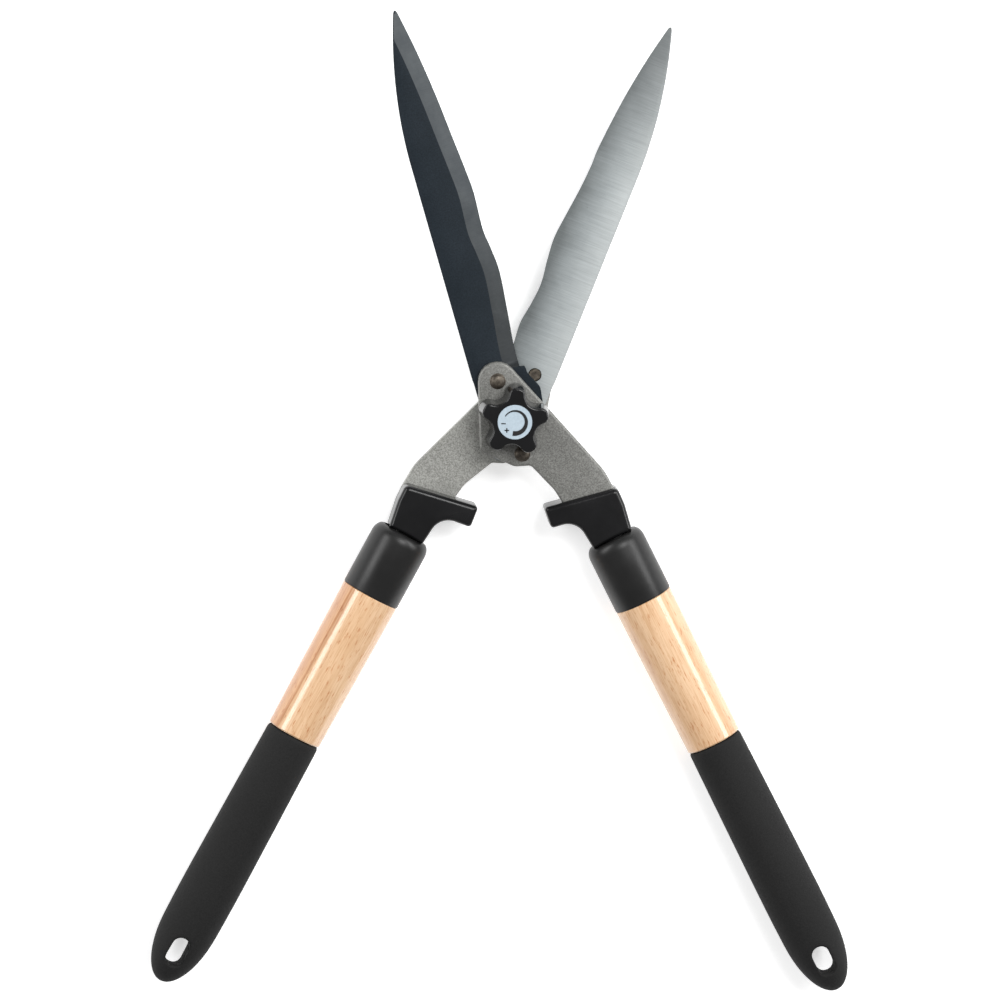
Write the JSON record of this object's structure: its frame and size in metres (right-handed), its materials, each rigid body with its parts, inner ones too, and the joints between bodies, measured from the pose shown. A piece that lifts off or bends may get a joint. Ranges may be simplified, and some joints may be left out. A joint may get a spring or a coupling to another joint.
{
  "type": "hedge shears",
  "caption": "Hand hedge shears with wavy blades, hammered steel tangs, a star knob on the pivot, and wooden handles with buffers and rubber grips.",
  "frame": {"origin": "on the pivot axis, in the flat back face of the pivot bolt's head, on which the shears lie", "axes": "+Z along the pivot axis, out of the knob side; +Y towards the blade tips, halfway between the two handles; +X towards the handle of the front half"},
  "size_m": [0.3645, 0.5111, 0.0411],
  "materials": {
    "black_blade": "blued black, satin, with a ground grey edge",
    "bright_blade": "cross-ground, semi-bright",
    "hammered_paint": "hammered grey enamel",
    "rivet_steel": "peened, lightly oxidised",
    "plated_steel": "zinc plated",
    "gloss_plastic": "moulded, glossy",
    "knob_plastic": "moulded, glossy",
    "satin_plastic": "moulded, satin",
    "wood": "pale hardwood, clear varnish",
    "rubber": "fine matt texture",
    "label": "printed, satin"
  },
  "bodies": {
    "back_half": {"back_blade": "bright_blade", "back_tang": "hammered_paint", "back_rivet_upper": "rivet_steel", "back_rivet_lower": "rivet_steel", "left_bumper": "gloss_plastic", "left_ferrule": "satin_plastic", "left_handle": "wood", "left_grip": "rubber", "pivot_bolt": "plated_steel", "flat_washer": "plated_steel"},
    "front_half": {"front_blade": "black_blade", "front_tang": "hammered_paint", "front_rivet_upper": "rivet_steel", "front_rivet_lower": "rivet_steel", "right_bumper": "gloss_plastic", "right_ferrule": "satin_plastic", "right_handle": "wood", "right_grip": "rubber"},
    "knob_seat": {"spring_washer": "plated_steel"},
    "knob": {"star_knob": "knob_plastic", "knob_nut": "plated_steel", "knob_label": "label"}
  },
  "joints": [
    {"name": "pivot", "type": "hinge", "parent": "back_half", "child": "front_half", "pos_m": [0, 0, 0.0155], "axis": [0, 0, 1], "range_deg": [-40.4, 60]},
    {"name": "knob_travel", "type": "slide", "parent": "back_half", "child": "knob_seat", "axis": [0, 0, 1], "range_m": [0, 0.003]},
    {"name": "knob_turn", "type": "hinge", "parent": "knob_seat", "child": "knob", "pos_m": [0, 0, 0.035], "axis": [0, 0, 1], "range_deg": [0, 720]}
  ],
  "couplings": [
    {"joint": "knob_travel", "follows": "knob_turn", "m_per_rad": 0.00023873}
  ]
}
